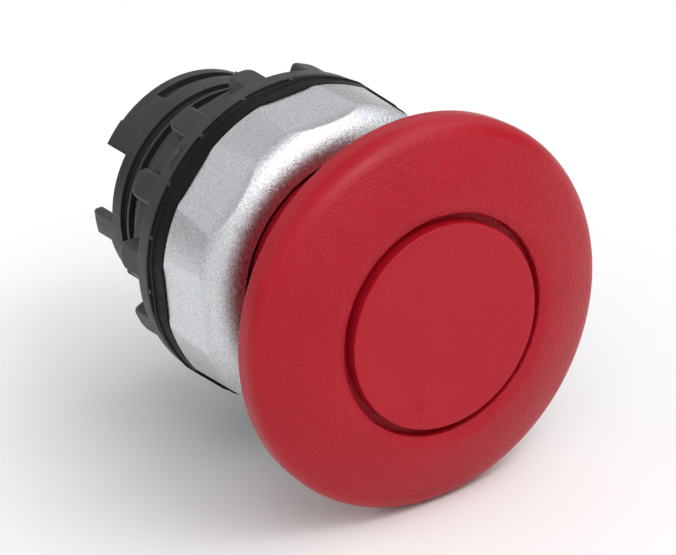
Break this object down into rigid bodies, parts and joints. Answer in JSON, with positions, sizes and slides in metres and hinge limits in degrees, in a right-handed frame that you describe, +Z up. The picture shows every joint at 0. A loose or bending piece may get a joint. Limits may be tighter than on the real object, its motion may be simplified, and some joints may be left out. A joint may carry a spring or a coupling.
{
  "type": "emergency stop button",
  "caption": "Panel-mount mushroom-head stop operator: red push-to-latch cap, faceted satin bezel, gasket, toothed washer and lugged ring nut on a threaded body.",
  "frame": {"origin": "centre of the gasket's rear face, where the button's axis crosses the panel's front surface", "axes": "+Y along the button's axis, into the panel; the head faces -Y; +Z up, through the locating lug"},
  "size_m": [0.038, 0.0423, 0.038],
  "materials": {
    "red_plastic": "fine spark-eroded grain, satin",
    "satin_chrome": "satin chrome over a fine cast grain",
    "black_rubber": "smooth, slightly glossy",
    "grey_plastic": "dark slate glass-filled nylon, fine grain",
    "natural_plastic": "natural acetal, satin",
    "spring_steel": "drawn wire",
    "zinc_steel": "zinc plated",
    "seal_rubber": "nitrile rubber"
  },
  "bodies": {
    "operator": {"operator_body": "grey_plastic", "bezel": "satin_chrome", "bezel_oring": "seal_rubber", "bezel_snap_ring": "spring_steel", "panel_gasket": "black_rubber", "stem_seal": "seal_rubber", "seal_retainer": "natural_plastic", "stop_washer": "seal_rubber", "return_spring": "spring_steel", "spring_seat": "natural_plastic", "latch_spring": "spring_steel", "seat_circlip": "spring_steel"},
    "head": {"mushroom_cap": "red_plastic", "cap_disc": "red_plastic", "cap_screw": "zinc_steel", "screw_washer": "zinc_steel", "plunger": "natural_plastic", "actuator_foot": "grey_plastic", "foot_clip": "spring_steel"},
    "washer": {"clamp_washer": "grey_plastic"},
    "nut": {"ring_nut": "grey_plastic"}
  },
  "joints": [
    {"name": "head_push", "type": "slide", "parent": "operator", "child": "head", "axis": [0, 1, 0], "range_m": [0, 0.0055], "deforming": ["return_spring", "latch_spring"]},
    {"name": "nut_travel", "type": "slide", "parent": "operator", "child": "washer", "axis": [0, 1, 0], "range_m": [0, 0.006]},
    {"name": "nut_spin", "type": "hinge", "parent": "washer", "child": "nut", "pos_m": [0, 0, 0], "axis": [0, 1, 0], "range_deg": [0, 1440]}
  ],
  "couplings": [
    {"joint": "nut_travel", "follows": "nut_spin", "m_per_rad": 0.00023873}
  ]
}
